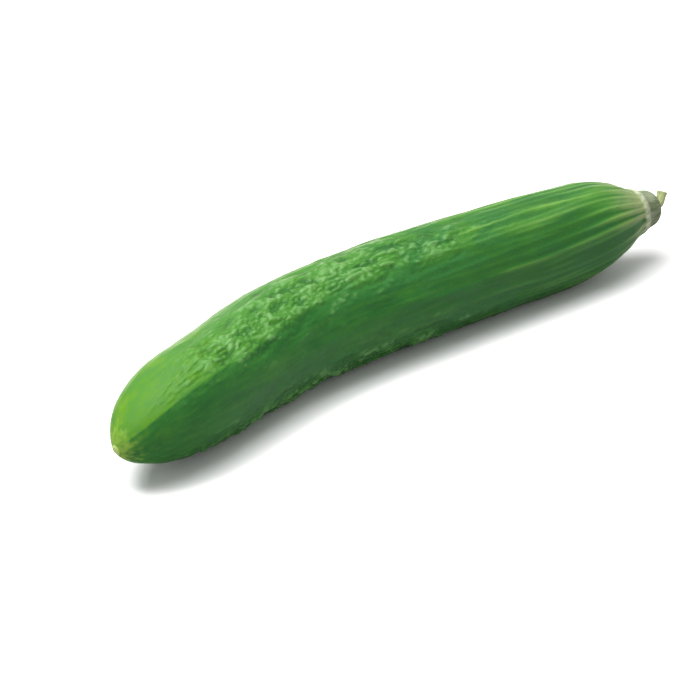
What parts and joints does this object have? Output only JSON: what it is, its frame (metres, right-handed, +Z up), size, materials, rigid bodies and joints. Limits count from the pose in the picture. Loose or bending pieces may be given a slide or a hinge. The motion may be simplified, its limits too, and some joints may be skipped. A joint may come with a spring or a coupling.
{
  "type": "cucumber",
  "caption": "Long slender cucumber with ribbed, puckered green skin, a narrow neck and the stub of its cut stalk, gently bowed and lying on its side.",
  "frame": {"origin": "bottom centre of the bounding box, on the surface the cucumber lies on", "axes": "+X from the blossom end to the stem end, +Z up, and the fruit bows towards +Y"},
  "size_m": [0.3138, 0.058, 0.0466],
  "materials": {
    "skin": "semi-gloss waxy vegetable skin, green",
    "stalk_skin": "matt plant stem, yellow-green"
  },
  "bodies": {
    "root": {"fruit": "skin", "stalk": "stalk_skin"}
  },
  "joints": []
}
